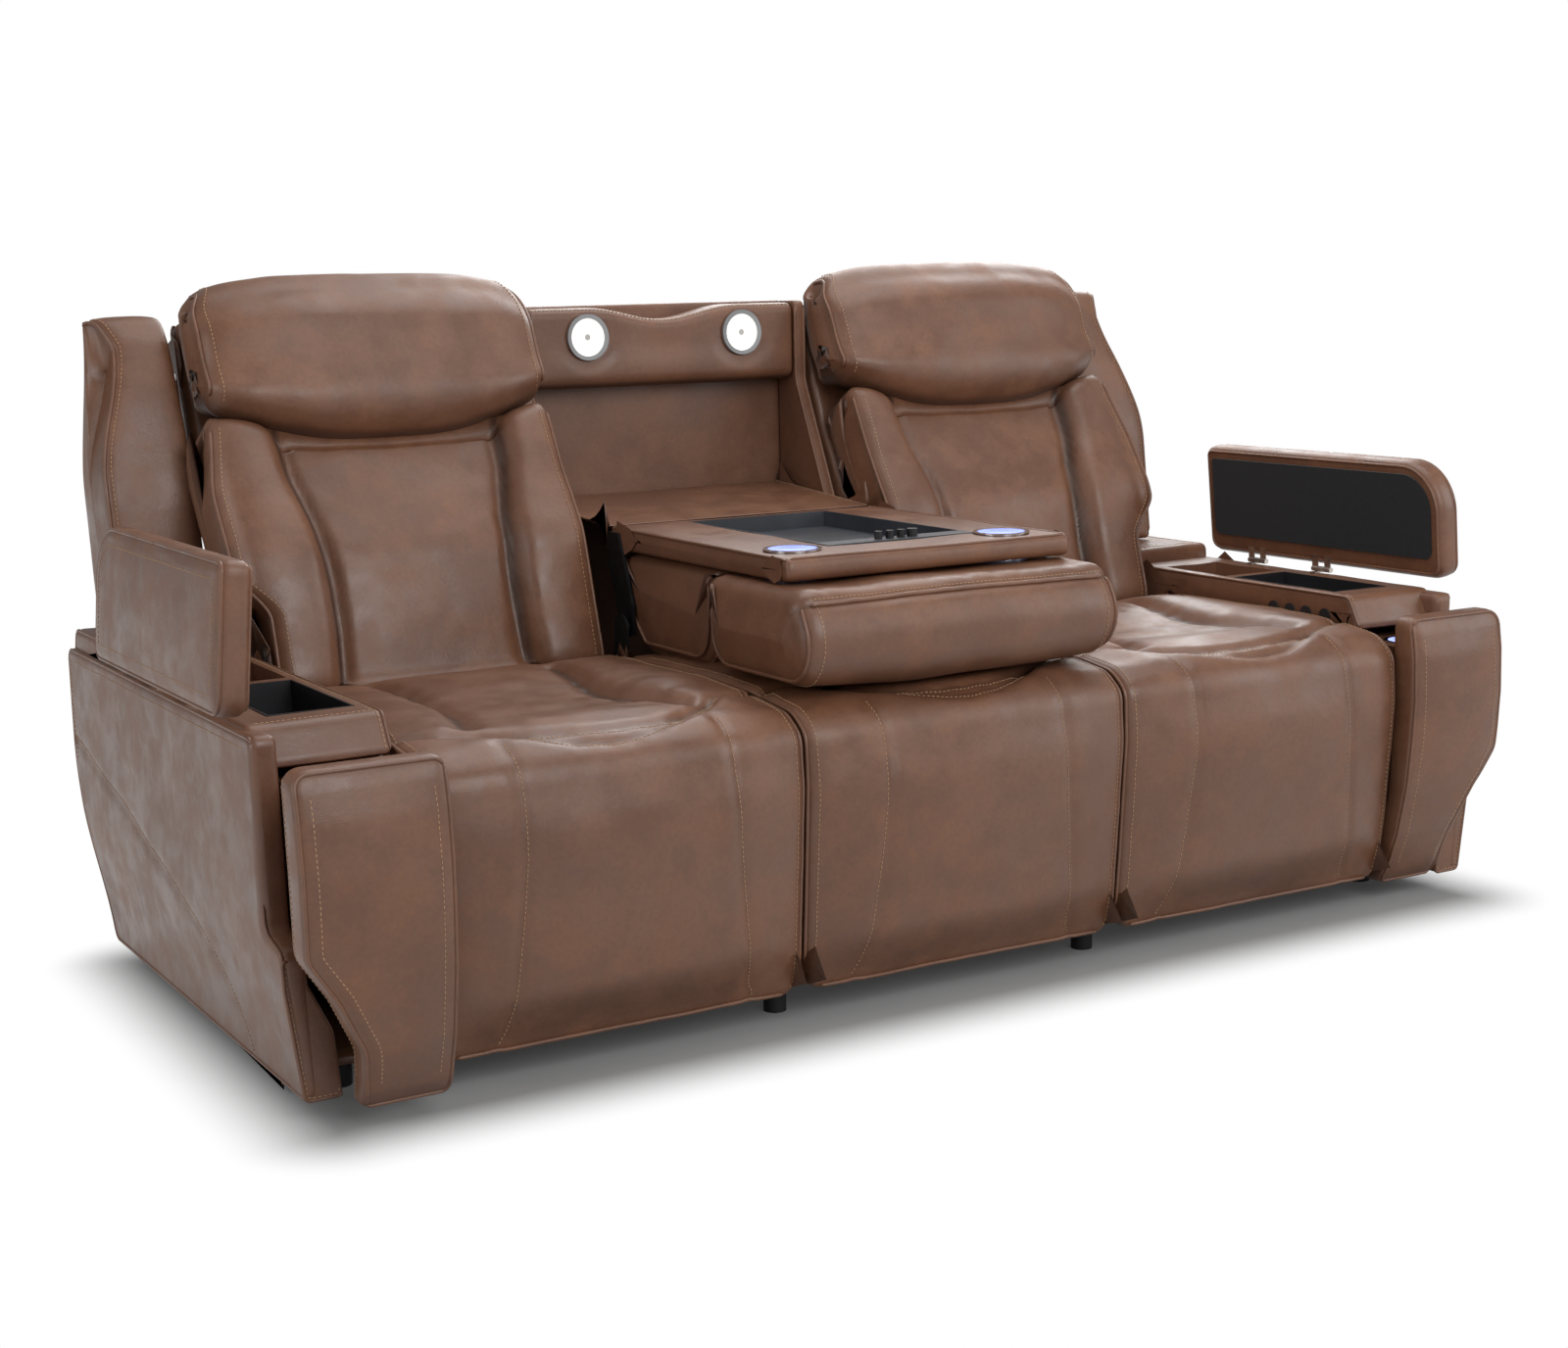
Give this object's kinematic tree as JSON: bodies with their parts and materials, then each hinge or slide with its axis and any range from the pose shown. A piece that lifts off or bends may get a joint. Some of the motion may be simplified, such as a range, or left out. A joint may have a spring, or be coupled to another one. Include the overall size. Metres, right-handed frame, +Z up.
{
  "type": "power reclining sofa with drop down console",
  "caption": "Power reclining sofa with a folding middle back that becomes a table with cup wells, storage arms with lids and drawers, and reading lamps.",
  "frame": {"origin": "on the floor under the middle of the object's box, with the lids open and the drawers partly out", "axes": "+X to the viewer's right along the seats, +Y to the back, +Z up"},
  "size_m": [2.249, 1.1554, 1.1047],
  "materials": {
    "bezel": "grey plastic ring",
    "button": "black, glossy top",
    "cup": "bright chrome, lit blue from inside",
    "leather": "brown pull-up leather, satin",
    "lens": "lit white lens",
    "liner": "black felt board",
    "nickel": "nickel plated",
    "plastic": "black plastic",
    "runner": "zinc plated steel",
    "steel": "black painted steel",
    "tray": "dark grey plastic"
  },
  "bodies": {
    "frame": {"base_rails": "steel", "glides": "steel", "mechanism_plates": "steel", "drive_motors": "steel", "middle_seat": "leather", "console_bins": "plastic", "drawer_runners": "runner", "lid_hinge_plates": "nickel", "side_wings": "leather", "back_shell": "leather", "light_panel": "leather", "light_bezels": "bezel", "light_lenses": "lens", "left_seat": "leather", "right_seat": "leather", "left_arm_side": "leather", "right_arm_side": "leather", "left_console": "leather", "right_console": "leather"},
    "right_lid": {"right_lid_pad": "leather", "right_lid_liner": "liner", "right_lid_leaves": "nickel"},
    "right_drawer": {"right_drawer_front": "leather", "right_drawer_box": "leather", "right_drawer_cup": "cup"},
    "right_foot": {"right_footrest": "leather"},
    "right_links": {"right_drive_links": "steel"},
    "right_back": {"right_back_cushion": "leather", "right_back_frame": "leather"},
    "right_head": {"right_headrest": "leather"},
    "left_lid": {"left_lid_pad": "leather", "left_lid_liner": "liner", "left_lid_leaves": "nickel"},
    "left_drawer": {"left_drawer_front": "leather", "left_drawer_box": "leather", "left_drawer_cup": "cup"},
    "left_foot": {"left_footrest": "leather"},
    "left_links": {"left_drive_links": "steel"},
    "left_back": {"left_back_cushion": "leather", "left_back_frame": "leather"},
    "left_head": {"left_headrest": "leather"},
    "table": {"table_top": "leather", "table_tray": "tray", "table_cups": "cup", "table_cushion": "leather", "table_bolster": "leather", "table_brackets": "steel", "bridge_flap": "leather"},
    "table_button_1": {"table_button_1": "button"},
    "table_button_2": {"table_button_2": "button"},
    "table_button_3": {"table_button_3": "button"},
    "table_button_4": {"table_button_4": "button"},
    "right_arm_button_1": {"right_arm_button_1": "button"},
    "right_arm_button_2": {"right_arm_button_2": "button"},
    "right_arm_button_3": {"right_arm_button_3": "button"},
    "right_arm_button_4": {"right_arm_button_4": "button"},
    "left_arm_button_1": {"left_arm_button_1": "button"},
    "left_arm_button_2": {"left_arm_button_2": "button"},
    "left_arm_button_3": {"left_arm_button_3": "button"},
    "left_arm_button_4": {"left_arm_button_4": "button"}
  },
  "joints": [
    {"name": "right_lid_hinge", "type": "hinge", "parent": "frame", "child": "right_lid", "pos_m": [1.079, 0, 0.534], "axis": [0, -1, 0], "range_deg": [0, 84]},
    {"name": "right_drawer_slide", "type": "slide", "parent": "frame", "child": "right_drawer", "axis": [0, -1, 0], "range_m": [-0.05, 0.15]},
    {"name": "right_footrest_hinge", "type": "hinge", "parent": "frame", "child": "right_foot", "pos_m": [0.588, -0.47, 0.475], "axis": [-1, 0, 0], "range_deg": [0, 88]},
    {"name": "right_link_hinge", "type": "hinge", "parent": "frame", "child": "right_links", "pos_m": [0.588, -0.2, 0.25], "axis": [-1, 0, 0], "range_deg": [0, 36]},
    {"name": "right_recline", "type": "hinge", "parent": "frame", "child": "right_back", "pos_m": [0.588, 0.23, 0.42], "axis": [-1, 0, 0], "range_deg": [0, 30]},
    {"name": "right_headrest_tilt", "type": "hinge", "parent": "right_back", "child": "right_head", "pos_m": [0.588, 0.344, 0.85], "axis": [1, 0, 0], "range_deg": [0, 35]},
    {"name": "left_lid_hinge", "type": "hinge", "parent": "frame", "child": "left_lid", "pos_m": [-1.079, 0, 0.534], "axis": [0, 1, 0], "range_deg": [0, 84]},
    {"name": "left_drawer_slide", "type": "slide", "parent": "frame", "child": "left_drawer", "axis": [0, -1, 0], "range_m": [-0.1235, 0.0765]},
    {"name": "left_footrest_hinge", "type": "hinge", "parent": "frame", "child": "left_foot", "pos_m": [-0.588, -0.47, 0.475], "axis": [-1, 0, 0], "range_deg": [0, 88]},
    {"name": "left_link_hinge", "type": "hinge", "parent": "frame", "child": "left_links", "pos_m": [-0.588, -0.2, 0.25], "axis": [-1, 0, 0], "range_deg": [0, 36]},
    {"name": "left_recline", "type": "hinge", "parent": "frame", "child": "left_back", "pos_m": [-0.588, 0.23, 0.42], "axis": [-1, 0, 0], "range_deg": [0, 30]},
    {"name": "left_headrest_tilt", "type": "hinge", "parent": "left_back", "child": "left_head", "pos_m": [-0.588, 0.344, 0.85], "axis": [1, 0, 0], "range_deg": [0, 35]},
    {"name": "console_fold", "type": "hinge", "parent": "frame", "child": "table", "pos_m": [0, 0.15, 0.525], "axis": [-1, 0, 0], "range_deg": [0, 108], "deforming": ["bridge_flap"]},
    {"name": "table_button_1_press", "type": "slide", "parent": "table", "child": "table_button_1", "axis": [0, 0, -1], "range_m": [0, 0.0027], "stiffness_N_per_m": 250, "springref_m": -0.001},
    {"name": "table_button_2_press", "type": "slide", "parent": "table", "child": "table_button_2", "axis": [0, 0, -1], "range_m": [0, 0.0027], "stiffness_N_per_m": 250, "springref_m": -0.001},
    {"name": "table_button_3_press", "type": "slide", "parent": "table", "child": "table_button_3", "axis": [0, 0, -1], "range_m": [0, 0.0027], "stiffness_N_per_m": 250, "springref_m": -0.001},
    {"name": "table_button_4_press", "type": "slide", "parent": "table", "child": "table_button_4", "axis": [0, 0, -1], "range_m": [0, 0.0027], "stiffness_N_per_m": 250, "springref_m": -0.001},
    {"name": "right_arm_button_1_press", "type": "slide", "parent": "frame", "child": "right_arm_button_1", "axis": [1, 0, 0], "range_m": [0, 0.0027], "stiffness_N_per_m": 250, "springref_m": -0.001},
    {"name": "right_arm_button_2_press", "type": "slide", "parent": "frame", "child": "right_arm_button_2", "axis": [1, 0, 0], "range_m": [0, 0.0027], "stiffness_N_per_m": 250, "springref_m": -0.001},
    {"name": "right_arm_button_3_press", "type": "slide", "parent": "frame", "child": "right_arm_button_3", "axis": [1, 0, 0], "range_m": [0, 0.0027], "stiffness_N_per_m": 250, "springref_m": -0.001},
    {"name": "right_arm_button_4_press", "type": "slide", "parent": "frame", "child": "right_arm_button_4", "axis": [1, 0, 0], "range_m": [0, 0.0027], "stiffness_N_per_m": 250, "springref_m": -0.001},
    {"name": "left_arm_button_1_press", "type": "slide", "parent": "frame", "child": "left_arm_button_1", "axis": [-1, 0, 0], "range_m": [0, 0.0027], "stiffness_N_per_m": 250, "springref_m": -0.001},
    {"name": "left_arm_button_2_press", "type": "slide", "parent": "frame", "child": "left_arm_button_2", "axis": [-1, 0, 0], "range_m": [0, 0.0027], "stiffness_N_per_m": 250, "springref_m": -0.001},
    {"name": "left_arm_button_3_press", "type": "slide", "parent": "frame", "child": "left_arm_button_3", "axis": [-1, 0, 0], "range_m": [0, 0.0027], "stiffness_N_per_m": 250, "springref_m": -0.001},
    {"name": "left_arm_button_4_press", "type": "slide", "parent": "frame", "child": "left_arm_button_4", "axis": [-1, 0, 0], "range_m": [0, 0.0027], "stiffness_N_per_m": 250, "springref_m": -0.001}
  ],
  "couplings": [
    {"joint": "right_link_hinge", "follows": "right_footrest_hinge", "ratio": 0.4},
    {"joint": "left_link_hinge", "follows": "left_footrest_hinge", "ratio": 0.4}
  ]
}
